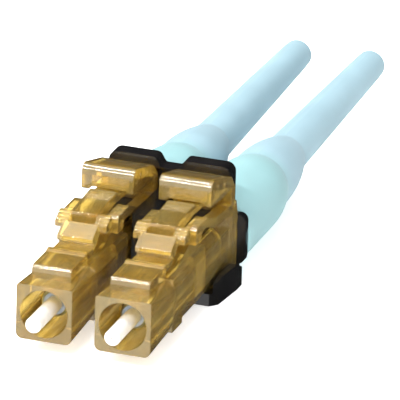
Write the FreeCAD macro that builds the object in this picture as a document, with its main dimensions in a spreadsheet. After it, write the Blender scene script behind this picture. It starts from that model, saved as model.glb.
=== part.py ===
"""Duplex LC fibre connector: two plugs in one clip, each with its strain-relief boot.

Frame: X across the pair, Y rearwards along the ferrules, Z up. The origin is the middle of the
object's footprint on the surface that it lies on. Each sub-part is drawn in its plug's own frame,
whose origin is on the ferrule axis in the plane of the nose's front face. Millimetres.
"""
import FreeCAD, Part
import os
import re
import Sketcher

doc = FreeCAD.newDocument("fibre_connector")
sheet = doc.addObject("Spreadsheet::Sheet", "dim")

# Driving sizes. "_at" is a distance behind the nose's front face, "_up" a height above the nose's
# top face and "_half" half a width. The boot's lengths run from its own front face.
SIZES = {
    # the pair and its place
    "pitch": 6.25,
    "rest_depth": 3.3,
    "tip_reach": 2.45,
    "seam": 0.03,
    # front shell
    "nose_width": 4.42,
    "nose_length": 5.2,
    "nose_round": 0.2,
    "rim_step": 0.06,
    "shell_end_at": 12.6,
    "shoulder_up": 0.89,
    "shoulder_at": 10.0,
    "shoulder_flat": 0.9,
    "channel_half": 1.62,
    "block_half": 1.55,
    "block_front_at": 1.47,
    "block_rear_at": 5.1,
    "block_up": 1.0,
    "bore_radius": 1.9,
    "bore_depth": 5.6,
    "seat_wall": 0.8,
    "cavity_radius": 1.45,
    "spigot_half": 1.75,
    "spigot_length": 2.0,
    "keel_start_at": 7.4,
    "keel_side": 0.8,
    "keel_under": 0.35,
    # latch
    "latch_hinge_at": 5.4,
    "latch_hinge_up": 0.57,
    "latch_hinge_radius": 0.36,
    "neck_thickness": 0.56,
    "latch_head_half": 1.42,
    "latch_arm_half": 1.06,
    "ear_half": 2.06,
    "ear_front_at": 7.72,
    "ear_length": 1.3,
    "ear_drop": 0.55,
    "ear_height": 0.75,
    "lip_at": 6.55,
    "lip_up": 1.2,
    "lip_thickness": 0.37,
    "ramp_end_at": 8.65,
    "ramp_up": 2.75,
    "arm_end_at": 12.9,
    "arm_up": 3.09,
    "arm_thickness": 0.85,
    "tail_at": 14.6,
    "tail_end_at": 15.4,
    "tail_up": 2.0,
    "tail_thickness": 0.38,
    # rear shell
    "shell_inset": 0.09,
    "rear_end_at": 19.6,
    "flange_at": 18.0,
    "flange_half": 2.4,
    "flange_up": 1.09,
    "deck_chamfer_side": 0.45,
    "deck_chamfer_in": 0.65,
    "rail_inner_half": 1.3,
    "portal_at": 10.0,
    "portal_length": 1.25,
    "portal_up": 2.27,
    "rail_peak_at": 12.5,
    "rail_bend_at": 14.3,
    "rail_bend_up": 1.52,
    "rail_rear_up": 1.16,
    "rail_thickness": 0.78,
    # trigger
    "trigger_half": 2.1,
    "trigger_wall": 0.6,
    "trigger_plate": 0.75,
    "trigger_hinge_at": 18.95,
    "trigger_hinge_radius": 0.4,
    "bar_lip_at": 13.55,
    "bar_lip_up": 4.27,
    "bar_crest_at": 14.3,
    "bar_crest_up": 4.6,
    "bar_foot_at": 14.8,
    "bar_foot_up": 2.14,
    "bar_depth": 1.0,
    "bar_undercut": 0.35,
    "plate_rear_at": 18.45,
    "plate_rear_up": 3.47,
    "heel_at": 19.4,
    "heel_up": 2.34,
    "rib_pitch": 1.55,
    "rib_size": 0.28,
    "rib_proud": 0.08,
    # ferrule, its barrel, the spring and the post
    "ferrule_diameter": 1.249,
    "ferrule_length": 11.4,
    "fibre_radius": 0.0635,
    "tip_chamfer": 0.2,
    "buffer_radius": 0.47,
    "collar_radius": 1.08,
    "collar_at": 2.3,
    "collar_clearance": 0.07,
    "barrel_flange_radius": 1.36,
    "barrel_flange_length": 1.15,
    "barrel_tube_radius": 0.8,
    "barrel_tube_length": 6.9,
    "slide_clearance": 0.05,
    "wire_radius": 0.14,
    "spring_turns": 6.0,
    "post_front_at": 11.8,
    "post_collar_length": 2.8,
    "post_collar_radius": 1.75,
    "post_neck_radius": 1.5,
    "post_neck_length": 6.1,
    "crimp_wall": 0.28,
    "crimp_length": 5.6,
    # boot
    "boot_radius": 3.09,
    "boot_collar_length": 7.6,
    "boot_waist": 10.7,
    "boot_waist_radius": 2.6,
    "boot_shoulder": 15.0,
    "boot_shoulder_radius": 2.3,
    "boot_neck": 17.4,
    "boot_neck_radius": 1.72,
    "boot_tail": 38.3,
    "boot_tail_radius": 1.25,
    "boot_length": 39.7,
    "boot_tip_round": 0.3,
    "cord_bore_radius": 0.825,
    # duplex clip
    "clip_plate": 0.72,
    "clip_side_half": 3.08,
    "clip_side_top": 2.25,
    "clip_hole_radius": 1.9,
    "crown_reach": 0.82,
    "crown_left": 1.72,
    "crown_right": 2.2,
    "crown_up": 4.02,
    "crown_thickness": 0.78,
    "saddle_up": 3.25,
    "web_gap": 0.08,
    "web_at": 12.8,
    "web_up": 1.54,
    "shelf_at": 13.8,
    "shelf_front_half": 2.45,
    "shelf_corner": 0.5,
    "skirt_front_drop": 0.95,
    "skirt_rear_drop": 1.8,
    "tongue_half": 1.2,
    "tongue_at": 13.6,
    "tongue_thickness": 0.45,
}

# Sizes that follow from the ones above.
DERIVED = {
    "nose_half": "nose_width / 2",
    "shell_half": "nose_half - rim_step",
    "rear_half": "nose_half - shell_inset",
    "latch_hinge_z": "nose_half + latch_hinge_up",
    "ear_top_z": "nose_half + ramp_up",
    "arm_top_z": "nose_half + arm_up",
    "lip_z": "nose_half + lip_up",
    "tail_z": "nose_half + tail_up",
    "shoulder_z": "nose_half + shoulder_up",
    "flange_z": "nose_half + flange_up",
    "portal_z": "nose_half + portal_up",
    "bar_foot_z": "nose_half + bar_foot_up",
    "plate_rear_z": "nose_half + plate_rear_up",
    "seat_at": "bore_depth + seat_wall",
    "spigot_at": "shell_end_at - spigot_length",
    "ferrule_radius": "ferrule_diameter / 2",
    "barrel_flange_at": "seat_at + seam",
    "barrel_flange_end": "barrel_flange_at + barrel_flange_length",
    "post_bore_radius": "barrel_tube_radius + slide_clearance",
    "post_collar_at": "rear_end_at - seam - post_collar_length",
    "plate_at": "rear_end_at + seam",
    "plate_end": "plate_at + clip_plate",
    "boot_at": "plate_end + seam",
    "boot_waist_at": "boot_at + boot_waist",
    "boot_shoulder_at": "boot_at + boot_shoulder",
    "boot_neck_at": "boot_at + boot_neck",
    "boot_tail_at": "boot_at + boot_tail",
    "boot_end_at": "boot_at + boot_length",
    "post_neck_end_at": "boot_at + post_neck_length",
    "crimp_radius": "post_neck_radius + seam + crimp_wall",
    "web_half": "pitch / 2 - flange_half - web_gap",
    "crown_z": "nose_half + crown_up",
    "saddle_z": "nose_half + saddle_up",
    "shelf_top": "flange_half + seam",
    "length": "tip_reach + boot_end_at",
    "nose_y": "tip_reach - length / 2",
}

for row, (alias, content) in enumerate([*SIZES.items(), *DERIVED.items()], start=1):
    formula = f"={content}" if alias in DERIVED else str(content)
    sheet.set(f"A{row}", alias)
    sheet.set(f"B{row}", formula)
    sheet.setAlias(f"B{row}", alias)
doc.recompute()

LEFT, RIGHT = -1, 1
SIDES = {"left": LEFT, "right": RIGHT}


def size(expression):
    """Value of an expression in the sheet's aliases."""
    return float(sheet.evalExpression(str(expression)))


def bound(expression):
    """The same expression as another object has to write it."""
    return re.sub(r"([a-z]+(?:_[a-z]+)*)", r"dim.\1", str(expression))


def new_body(label, side=0):
    """A body in the frame of one plug, or midway between the two."""
    body = doc.addObject("PartDesign::Body", label)
    body.Label = label
    place(body, side)
    return body


def place(item, side):
    item.setExpression("Placement.Base.x", f"{side} * dim.pitch / 2")
    item.setExpression("Placement.Base.y", "dim.nose_y")
    item.setExpression("Placement.Base.z", "dim.rest_depth")


def new_sketch(body, name, plane, offset):
    """Sketch on one of the body's planes: YZ looks along X, XZ along Y, XY along Z."""
    sketch = body.newObject("Sketcher::SketchObject", f"{body.Label}_{name}_sketch")
    origin_plane = [f for f in body.Origin.OriginFeatures if f.Role == f"{plane}_Plane"][0]
    sketch.AttachmentSupport = [(origin_plane, "")]
    sketch.MapMode = "FlatFace"
    sign = "-" if plane == "XZ" else ""
    sketch.setExpression("AttachmentOffset.Base.z", f"{sign}({bound(offset)})")
    return sketch


def fix_point(sketch, geometry, end, point):
    """Hold one end of a line or arc at coordinates given as expressions."""
    for kind, expression in zip(("DistanceX", "DistanceY"), point):
        index = sketch.addConstraint(
            Sketcher.Constraint(kind, -1, 1, geometry, end, size(expression)))
        sketch.setExpression(f"Constraints[{index}]", bound(expression))


def outline(body, name, plane, points, offset="0"):
    """Closed outline through points, each a pair of expressions.

    A point with a third value bulges: the side from it to the next is an arc through that place.
    """
    sketch = new_sketch(body, name, plane, offset)
    corners = [FreeCAD.Vector(size(point[0]), size(point[1]), 0) for point in points]
    count = len(corners)
    for i, point in enumerate(points):
        here, there = corners[i], corners[(i + 1) % count]
        if len(point) == 3:
            middle = FreeCAD.Vector(size(point[2][0]), size(point[2][1]), 0)
            sketch.addGeometry(Part.Arc(here, middle, there))
        else:
            sketch.addGeometry(Part.LineSegment(here, there))
    for i, point in enumerate(points):
        first = start_of(sketch, i, corners[i])
        before = (i - 1) % count
        last = 3 - start_of(sketch, before, corners[before])
        sketch.addConstraint(Sketcher.Constraint("Coincident", before, last, i, first))
        fix_point(sketch, i, first, point[:2])
    for i, point in enumerate(points):
        if len(point) == 3:
            hold_arc(sketch, i, point[2])
    return sketch


def start_of(sketch, geometry, corner):
    """Which end of a line or arc lies at a corner: 1 or 2. An arc always runs anticlockwise."""
    near = sketch.Geometry[geometry].StartPoint.distanceToPoint(corner)
    far = sketch.Geometry[geometry].EndPoint.distanceToPoint(corner)
    return 1 if near <= far else 2


def hold_arc(sketch, geometry, place):
    """Keep an arc through a construction point."""
    point = sketch.addGeometry(Part.Point(FreeCAD.Vector(size(place[0]), size(place[1]), 0)), True)
    fix_point(sketch, point, 1, place)
    sketch.addConstraint(Sketcher.Constraint("PointOnObject", point, 1, geometry))


def circle(body, name, plane, radius, centre=("0", "0"), offset="0"):
    sketch = new_sketch(body, name, plane, offset)
    middle = FreeCAD.Vector(size(centre[0]), size(centre[1]), 0)
    sketch.addGeometry(Part.Circle(middle, FreeCAD.Vector(0, 0, 1), size(radius)))
    index = sketch.addConstraint(Sketcher.Constraint("Radius", 0, size(radius)))
    sketch.setExpression(f"Constraints[{index}]", bound(radius))
    fix_point(sketch, 0, 3, centre)
    return sketch


def feature_of(sketch, kind, length):
    body = sketch.getParentGeoFeatureGroup()
    feature = body.newObject(f"PartDesign::{kind}", sketch.Name.replace("_sketch", ""))
    feature.Profile = sketch
    feature.setExpression("Length", bound(length))
    return feature


def pad(sketch, length):
    """Pad rearwards from a sketch of the XZ plane, upwards from one of the XY plane."""
    feature = feature_of(sketch, "Pad", length)
    feature.Reversed = plane_of(sketch) == "XZ_Plane"
    return feature


def pocket(sketch, length):
    """Pocket rearwards from a sketch of the XZ plane, upwards from one of the XY plane."""
    feature = feature_of(sketch, "Pocket", length)
    feature.Reversed = plane_of(sketch) != "XZ_Plane"
    return feature


def plane_of(sketch):
    return sketch.AttachmentSupport[0][0].Role


def pad_across(sketch, half_width):
    """Pad a side view equally to left and right."""
    feature = feature_of(sketch, "Pad", f"2 * ({half_width})")
    feature.SideType = "Symmetric"
    return feature


def pocket_across(sketch, half_width):
    feature = feature_of(sketch, "Pocket", f"2 * ({half_width})")
    feature.SideType = "Symmetric"
    return feature


def turn(sketch):
    """Revolve a half section, drawn in the YZ plane, about the ferrule axis."""
    body = sketch.getParentGeoFeatureGroup()
    feature = body.newObject("PartDesign::Revolution", sketch.Name.replace("_sketch", ""))
    feature.Profile = sketch
    feature.ReferenceAxis = (sketch, ["H_Axis"])
    feature.Angle = 360
    return feature


def rectangle(low_u, high_u, low_v, high_v):
    return [(low_u, low_v), (high_u, low_v), (high_u, high_v), (low_u, high_v)]


def round_edges(body, name, radius, along, corners, kind="Fillet"):
    """Fillet or chamfer the edges along one axis that pass through given places.

    Each corner is a pair of expressions: the edge's two other coordinates, in X, Y, Z order.
    """
    doc.recompute()
    base = body.Tip
    axis = "XYZ".index(along)
    others = [i for i in range(3) if i != axis]
    wanted = [(size(u), size(v)) for u, v in corners]
    names = []
    for number, edge in enumerate(base.Shape.Edges, start=1):
        ends = [vertex.Point for vertex in edge.Vertexes]
        if len(ends) != 2 or any(abs(ends[0][i] - ends[1][i]) > 1e-4 for i in others):
            continue
        if any(abs(ends[0][others[0]] - u) < 2e-3 and abs(ends[0][others[1]] - v) < 2e-3
               for u, v in wanted):
            names.append(f"Edge{number}")
    if not names:
        raise RuntimeError(f"{body.Label}: no edge for {name}")
    feature = body.newObject(f"PartDesign::{kind}", f"{body.Label}_{name}")
    feature.Base = (base, names)
    feature.setExpression("Radius" if kind == "Fillet" else "Size", bound(radius))
    return feature


def round_face(body, name, radius, face_y, outside):
    """Fillet the outer rim of the face at one station: every edge there beyond a distance."""
    doc.recompute()
    base = body.Tip
    names = []
    for number, edge in enumerate(base.Shape.Edges, start=1):
        box = edge.BoundBox
        reach = max(abs(box.XMin), abs(box.XMax), abs(box.ZMin), abs(box.ZMax))
        at_face = abs(box.YMin - size(face_y)) < 1e-4 and abs(box.YMax - size(face_y)) < 1e-4
        if at_face and reach > size(outside) and edge.Curve.TypeId != "Part::GeomCircle":
            names.append(f"Edge{number}")
    feature = body.newObject("PartDesign::Fillet", f"{body.Label}_{name}")
    feature.Base = (base, names)
    feature.setExpression("Radius", bound(radius))
    return feature


def plug_housing(name, side):
    """Front shell: square nose, block for the latch root, shoulders beside the latch."""
    body = new_body(f"plug_housing_{name}", side)
    pad(outline(body, "nose", "XZ", rectangle("-nose_half", "nose_half", "-nose_half", "nose_half")),
        "nose_length")
    pad(outline(body, "shell", "XZ", rectangle("-shell_half", "shell_half", "-shell_half", "shell_half"),
                "nose_length"), "keel_start_at - nose_length")
    pad(outline(body, "keel", "XZ", keeled("shell_half", "shell_half"), "keel_start_at"),
        "shell_end_at - keel_start_at")
    pad_across(outline(body, "shoulder", "YZ", [
        ("nose_length", "shell_half - keel_side"),
        ("shell_end_at", "shell_half - keel_side"),
        ("shell_end_at", "shell_half"),
        ("shoulder_at + shoulder_flat", "shoulder_z"),
        ("shoulder_at", "shoulder_z"),
        ("nose_length", "shell_half"),
    ]), "shell_half")
    pocket(outline(body, "channel", "XZ",
                   rectangle("-channel_half", "channel_half", "shell_half", "shoulder_z + shoulder_up"),
                   "nose_length"), "shell_end_at - nose_length")
    pad_across(outline(body, "block", "YZ",
                       rectangle("block_front_at", "block_rear_at", "shell_half", "nose_half + block_up")),
               "block_half")
    round_edges(body, "block_edge", "nose_round * 1.5", "X", [("block_front_at", "nose_half + block_up")])
    round_edges(body, "shoulder_edge", "nose_round * 4", "X",
                [("shoulder_at + shoulder_flat", "shoulder_z")])
    pocket_across(circle(body, "latch_seat", "YZ", "latch_hinge_radius + seam",
                         ("latch_hinge_at", "latch_hinge_z")), "block_half + seam")
    pocket(circle(body, "bore", "XZ", "bore_radius"), "bore_depth")
    pocket(circle(body, "seat_hole", "XZ", "collar_radius + collar_clearance", offset="bore_depth"),
           "seat_wall")
    pocket(circle(body, "cavity", "XZ", "cavity_radius", offset="seat_at"), "shell_end_at - seat_at")
    socket = "spigot_half + seam"
    pocket(outline(body, "socket", "XZ", rectangle(f"-({socket})", socket, f"-({socket})", socket),
                   "spigot_at - seam"), "spigot_length + seam")
    round_edges(body, "nose_corner", "nose_round", "Y",
                [(f"{u}nose_half", f"{v}nose_half") for u in ("", "-") for v in ("", "-")])
    round_face(body, "nose_face", "nose_round / 2", "0", "nose_half - nose_round")
    return body


def keeled(half, top):
    """Section with its two lower corners cut away."""
    return [
        (f"-{half}", top),
        (f"-{half}", f"keel_side - {half}"),
        (f"keel_under - {half}", f"-{half}"),
        (f"{half} - keel_under", f"-{half}"),
        (half, f"keel_side - {half}"),
        (half, top),
    ]


def latch_arm(name, side):
    """Latch: neck on its root, lead-in ramp, catch ears and the arm back to the trigger."""
    body = new_body(f"latch_arm_{name}", side)
    under = "ear_top_z - arm_thickness"
    neck_top, neck_under = ("latch_hinge_z + neck_thickness / 2", "latch_hinge_z - neck_thickness / 2")
    ear_end = "ear_front_at + ear_length"
    pad_across(circle(body, "root", "YZ", "latch_hinge_radius", ("latch_hinge_at", "latch_hinge_z")),
               "latch_head_half")
    pad_across(outline(body, "head", "YZ", [
        ("latch_hinge_at", neck_under),
        ("lip_at", neck_under),
        (ear_end, under),
        (ear_end, "ear_top_z"),
        ("ramp_end_at", "ear_top_z"),
        ("lip_at", "lip_z + lip_thickness"),
        ("lip_at", "lip_z"),
        ("lip_at + lip_thickness", "lip_z"),
        ("lip_at + lip_thickness", neck_top),
        ("latch_hinge_at", neck_top),
    ]), "latch_head_half")
    pad_across(outline(body, "arm", "YZ", [
        ("ramp_end_at", under),
        ("arm_end_at + lip_thickness", "arm_top_z - arm_thickness"),
        ("tail_at", "tail_z - tail_thickness"),
        ("tail_end_at", "tail_z - tail_thickness"),
        ("tail_end_at", "tail_z"),
        ("tail_at", "tail_z"),
        ("arm_end_at", "arm_top_z"),
        ("ramp_end_at", "ear_top_z"),
    ]), "latch_arm_half")
    pad_across(outline(body, "ears", "YZ", [
        ("ear_front_at", "ear_top_z - ear_height"),
        (ear_end, "ear_top_z - ear_height"),
        (ear_end, "ear_top_z"),
        ("ramp_end_at", "ear_top_z"),
        ("ear_front_at", "ear_top_z - ear_drop"),
    ]), "ear_half")
    round_edges(body, "lip_edge", "lip_thickness / 3", "X",
                [("lip_at", "lip_z"), ("lip_at", "lip_z + lip_thickness")])
    return body


def rear_housing(name, side):
    """Rear shell: spigot, body, rear flange, and the two rails with their front portal."""
    body = new_body(f"rear_housing_{name}", side)
    start = "shell_end_at + seam"
    pad(outline(body, "spigot", "XZ", rectangle("-spigot_half", "spigot_half", "-spigot_half", "spigot_half"),
                "spigot_at"), "spigot_length + seam")
    deck = [
        ("-rear_half", "rear_half - deck_chamfer_side"),
        ("-rear_half", "keel_side - rear_half"),
        ("keel_under - rear_half", "-rear_half"),
        ("rear_half - keel_under", "-rear_half"),
        ("rear_half", "keel_side - rear_half"),
        ("rear_half", "rear_half - deck_chamfer_side"),
        ("rear_half - deck_chamfer_in", "rear_half"),
        ("deck_chamfer_in - rear_half", "rear_half"),
    ]
    pad(outline(body, "shell", "XZ", deck, start), f"flange_at - ({start})")
    rail_end = "flange_at + nose_round"
    portal_rear = "portal_at + portal_length"
    rail = [
        ("portal_at", "shoulder_z + seam"),
        (portal_rear, "shoulder_z + seam"),
        (portal_rear, "portal_z - rail_thickness"),
        ("rail_peak_at", "portal_z - rail_thickness"),
        ("rail_bend_at", "nose_half + rail_bend_up - rail_thickness"),
        (rail_end, "nose_half + rail_rear_up - rail_thickness"),
        (rail_end, "nose_half + rail_rear_up"),
        ("rail_bend_at", "nose_half + rail_bend_up"),
        ("rail_peak_at", "portal_z"),
        ("portal_at", "portal_z"),
    ]
    flange = [
        ("-flange_half", "-flange_half"),
        ("flange_half", "-flange_half"),
        ("flange_half", "nose_half"),
        ("trigger_half + rim_step", "flange_z"),
        ("-(trigger_half + rim_step)", "flange_z"),
        ("-flange_half", "nose_half"),
    ]
    pad(outline(body, "flange", "XZ", flange, "flange_at"), "rear_end_at - flange_at")
    pad_across(outline(body, "rail", "YZ", rail), "nose_half")
    pocket(outline(body, "rail_gap", "XZ",
                   rectangle("-rail_inner_half", "rail_inner_half", "rear_half", "portal_z + rail_thickness"),
                   "portal_at - seam"), "flange_at - portal_at + seam")
    round_edges(body, "rail_edge", "nose_round * 2", "X",
                [("portal_at", "portal_z"), ("rail_peak_at", "portal_z"),
                 (portal_rear, "portal_z - rail_thickness")])
    pocket_across(circle(body, "trigger_seat", "YZ", "trigger_hinge_radius + seam",
                         ("trigger_hinge_at", "flange_z")), "flange_half")
    slot_half = "tongue_half + seam"
    pocket(outline(body, "tongue_slot", "XZ",
                   rectangle(f"-({slot_half})", slot_half, "rear_half",
                             "rear_half + tongue_thickness + 2 * seam"), "flange_at"),
           "rear_end_at - flange_at")
    pocket(circle(body, "cavity", "XZ", "cavity_radius", offset="spigot_at"), "post_collar_at - spigot_at")
    pocket(circle(body, "collar_seat", "XZ", "post_collar_radius + seam", offset="post_collar_at - seam"),
           "rear_end_at - post_collar_at + seam")
    return body


def trigger(name, side):
    """Anti-snag lever: front bar, top plate and side skirts, on a root that turns in the flange."""
    body = new_body(f"trigger_{name}", side)
    root_front, root_rear = ("trigger_hinge_at - trigger_hinge_radius",
                             "trigger_hinge_at + trigger_hinge_radius")
    wall_foot = "flange_z + trigger_hinge_radius / 2"
    bar_lip_z, bar_crest_z = "nose_half + bar_lip_up", "nose_half + bar_crest_up"
    skirt_z = "bar_foot_z + rail_thickness / 2"
    pad_across(outline(body, "lever", "YZ", [
        ("bar_lip_at", bar_lip_z),
        ("bar_lip_at + bar_undercut", f"{bar_lip_z} - bar_undercut"),
        ("bar_foot_at", "bar_foot_z"),
        ("bar_foot_at + bar_depth", "bar_foot_z"),
        ("plate_rear_at - nose_round", skirt_z),
        (root_front, wall_foot),
        (root_front, "flange_z"),
        (root_rear, "flange_z"),
        (root_rear, wall_foot),
        ("heel_at", "nose_half + heel_up"),
        ("plate_rear_at", "plate_rear_z"),
        ("bar_crest_at", bar_crest_z),
    ]), "trigger_half")
    pad_across(circle(body, "root", "YZ", "trigger_hinge_radius", ("trigger_hinge_at", "flange_z")),
               "trigger_half")
    pocket_across(outline(body, "hollow", "YZ", [
        ("bar_foot_at + bar_depth", "bar_foot_z - bar_undercut"),
        (root_front + " - nose_round", "bar_foot_z - bar_undercut"),
        (root_front + " - nose_round", "nose_half + heel_up"),
        ("plate_rear_at - trigger_wall", "plate_rear_z - trigger_plate"),
        ("bar_crest_at + bar_depth", f"{bar_crest_z} - trigger_plate - bar_undercut"),
    ]), "trigger_half - trigger_wall")
    round_edges(body, "bar_edge", "nose_round", "X",
                [("bar_crest_at", bar_crest_z), ("bar_foot_at", "bar_foot_z")])
    round_edges(body, "heel_edge", "nose_round * 3", "X",
                [("plate_rear_at", "plate_rear_z"), ("heel_at", "nose_half + heel_up")])
    rib = pad_across(outline(body, "rib", "YZ", rectangle(
        "bar_crest_at + bar_depth", "bar_crest_at + bar_depth + rib_size",
        f"{bar_crest_z} - 4 * rib_size", f"{bar_crest_z} - 2 * rib_size")), "trigger_half + rib_proud")
    ribs = body.newObject("PartDesign::LinearPattern", f"{body.Label}_ribs")
    ribs.Originals = [rib]
    ribs.Direction = (rib.Profile[0], ["H_Axis"])
    ribs.Mode = "Spacing"
    ribs.setExpression("Offset", "dim.rib_pitch")
    ribs.Occurrences = 2
    body.Tip = ribs
    return body


def ferrule(name, side):
    """Zirconia cylinder with a chamfered tip and the fine fibre bore."""
    body = new_body(f"ferrule_{name}", side)
    rear = "ferrule_length - tip_reach"
    turn(outline(body, "cylinder", "YZ", [
        ("-tip_reach", "fibre_radius"),
        (rear, "fibre_radius"),
        (rear, "ferrule_radius"),
        ("tip_chamfer - tip_reach", "ferrule_radius",
         ("tip_chamfer * 0.3 - tip_reach", "ferrule_radius - tip_chamfer * 0.3")),
        ("-tip_reach", "ferrule_radius - tip_chamfer"),
    ]))
    return body


def ferrule_barrel(name, side):
    """Holder of the ferrule: front collar, flange for the spring, and the tube to the rear."""
    body = new_body(f"ferrule_barrel_{name}", side)
    step = "ferrule_length - tip_reach"
    rear = "barrel_flange_end + barrel_tube_length"
    turn(outline(body, "barrel", "YZ", [
        ("collar_at", "ferrule_radius"),
        (step, "ferrule_radius"),
        (step, "buffer_radius"),
        (rear, "buffer_radius"),
        (rear, "barrel_tube_radius"),
        ("barrel_flange_end", "barrel_tube_radius"),
        ("barrel_flange_end", "barrel_flange_radius"),
        ("barrel_flange_at", "barrel_flange_radius"),
        ("barrel_flange_at", "collar_radius"),
        ("collar_at + tip_chamfer", "collar_radius"),
        ("collar_at", "collar_radius - tip_chamfer"),
    ]))
    return body


def spring(name, side):
    """Coil between the barrel's flange and the post."""
    coil_radius = "(barrel_tube_radius + cavity_radius) / 2"
    height = "post_front_at - barrel_flange_end - 2 * (wire_radius + seam)"
    helix = doc.addObject("Part::Helix", f"spring_{name}_path")
    helix.setExpression("Radius", bound(coil_radius))
    helix.setExpression("Height", bound(height))
    helix.setExpression("Pitch", bound(f"({height}) / spring_turns"))
    section = doc.addObject("Part::Circle", f"spring_{name}_wire")
    section.setExpression("Radius", "dim.wire_radius")
    section.setExpression("Placement.Base.x", bound(coil_radius))
    section.Placement.Rotation = FreeCAD.Rotation(FreeCAD.Vector(1, 0, 0), 90)
    coil = doc.addObject("Part::Sweep", f"spring_{name}")
    coil.Label = f"spring_{name}"
    coil.Sections = [section]
    coil.Spine = (helix, [])
    coil.Solid = True
    coil.Frenet = True
    coil.Placement.Rotation = FreeCAD.Rotation(FreeCAD.Vector(1, 0, 0), -90)
    coil.setExpression("Placement.Base.x", f"{side} * dim.pitch / 2")
    coil.setExpression("Placement.Base.y", bound("nose_y + barrel_flange_end + seam + wire_radius"))
    coil.setExpression("Placement.Base.z", "dim.rest_depth")
    return coil


def back_post(name, side):
    """Post: its front holds the spring, its collar sits in the rear shell, its neck is crimped."""
    body = new_body(f"back_post_{name}", side)
    collar_end = "post_collar_at + post_collar_length"
    turn(outline(body, "post", "YZ", [
        ("post_front_at", "post_bore_radius"),
        ("post_neck_end_at", "post_bore_radius"),
        ("post_neck_end_at", "post_neck_radius"),
        (collar_end, "post_neck_radius"),
        (collar_end, "post_collar_radius"),
        ("post_collar_at", "post_collar_radius"),
        ("post_collar_at", "cavity_radius - seam"),
        ("post_front_at", "cavity_radius - seam"),
    ]))
    return body


def crimp_sleeve(name, side):
    body = new_body(f"crimp_sleeve_{name}", side)
    turn(outline(body, "tube", "YZ", rectangle(
        "boot_at + crimp_wall", "boot_at + crimp_wall + crimp_length",
        "post_neck_radius + seam", "crimp_radius")))
    return body


def boot(name, side):
    """Strain relief: collar, convex shoulder and long taper, bored for the cord."""
    body = new_body(f"boot_{name}", side)
    inner = "crimp_radius + seam"
    collar_end = "boot_at + boot_collar_length"
    turn(outline(body, "boot", "YZ", [
        ("boot_at", inner),
        ("post_neck_end_at + crimp_wall", inner),
        ("post_neck_end_at + crimp_wall + boot_radius / 2", "cord_bore_radius"),
        ("boot_end_at", "cord_bore_radius"),
        ("boot_end_at", "boot_tail_radius - boot_tip_round"),
        ("boot_end_at - boot_tip_round", "boot_tail_radius - rim_step"),
        ("boot_tail_at", "boot_tail_radius"),
        ("boot_neck_at", "boot_neck_radius", ("boot_shoulder_at", "boot_shoulder_radius")),
        ("boot_waist_at", "boot_waist_radius",
         ("(boot_waist_at + boot_at + boot_collar_length) / 2",
          "boot_radius - (boot_radius - boot_waist_radius) / 4")),
        (collar_end, "boot_radius"),
        ("boot_at + rim_step * 2", "boot_radius"),
        ("boot_at", "boot_radius - rim_step * 2"),
    ]))
    return body


def duplex_clip():
    """Clip: shelf and skirts under the shells, centre web, rear plate, tongues and crown tabs."""
    body = new_body("duplex_clip")
    centre = "pitch / 2"
    edge = f"{centre} + clip_side_half"
    front_edge = f"{centre} + shelf_front_half"
    plan = [
        (f"-({front_edge})", "shelf_at"),
        (front_edge, "shelf_at"),
        (f"{front_edge} + shelf_corner / 2", "shelf_at + shelf_corner"),
        (edge, "flange_at + shelf_corner"),
        (edge, "plate_end"),
        (f"-({edge})", "plate_end"),
        (f"-({edge})", "flange_at + shelf_corner"),
        (f"-({front_edge} + shelf_corner / 2)", "shelf_at + shelf_corner"),
    ]
    pad(outline(body, "shelf", "XY", plan, "-rest_depth"), "rest_depth - skirt_front_drop")
    inner = f"{centre} + shelf_top"
    pocket(outline(body, "bay", "XY", rectangle(f"-({inner})", inner, "shelf_at - seam", "plate_at"),
                   "-shelf_top"), "shelf_top")
    pocket_across(outline(body, "skirt_slope", "YZ", [
        ("shelf_at - seam", "-skirt_front_drop"),
        ("plate_at", "-skirt_rear_drop"),
        ("plate_at", "rest_depth"),
        ("shelf_at - seam", "rest_depth"),
    ]), f"{edge} + seam")
    pad_across(outline(body, "web", "YZ",
                       rectangle("web_at", "plate_end", "-rest_depth", "nose_half + web_up")), "web_half")
    pad(outline(body, "side_plate", "XZ", rectangle(f"-({edge})", edge, "-rest_depth", "clip_side_top"),
                "plate_at"), "clip_plate")
    low_crown = "crown_z - crown_thickness"
    pad(outline(body, "high_plate", "XZ",
                rectangle(f"-({centre} + crown_left)", f"{centre} + crown_right", "0", low_crown),
                "plate_at"), "clip_plate")
    pad(outline(body, "saddle", "XZ", rectangle("-web_half", "web_half", "0", "saddle_z"),
                "plate_at - crown_reach"), "crown_reach + clip_plate")
    for name, side in SIDES.items():
        middle = f"{side} * pitch / 2"
        pad(outline(body, f"crown_{name}", "XZ",
                    rectangle(f"{middle} - crown_left", f"{middle} + crown_right", low_crown, "crown_z"),
                    "plate_at - crown_reach"), "crown_reach + clip_plate")
        tongue_z = "rear_half + seam"
        pad(outline(body, f"tongue_{name}", "XZ",
                    rectangle(f"{middle} - tongue_half", f"{middle} + tongue_half", tongue_z,
                              f"{tongue_z} + tongue_thickness"), "tongue_at"), "plate_at - tongue_at")
        pocket(circle(body, f"neck_hole_{name}", "XZ", "clip_hole_radius", (middle, "0"), "plate_at"),
               "clip_plate")
    round_edges(body, "crown_inner", "nose_round * 2", "Y",
                [(f"{side} * pitch / 2 - crown_left", "crown_z") for side in SIDES.values()])
    round_edges(body, "crown_outer", "nose_round * 3.5", "Y",
                [(f"{side} * pitch / 2 + crown_right", "crown_z") for side in SIDES.values()])
    round_edges(body, "side_corner", "nose_round * 3", "Y",
                [(f"-({edge})", "clip_side_top"), (edge, "clip_side_top")])
    return body


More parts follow.
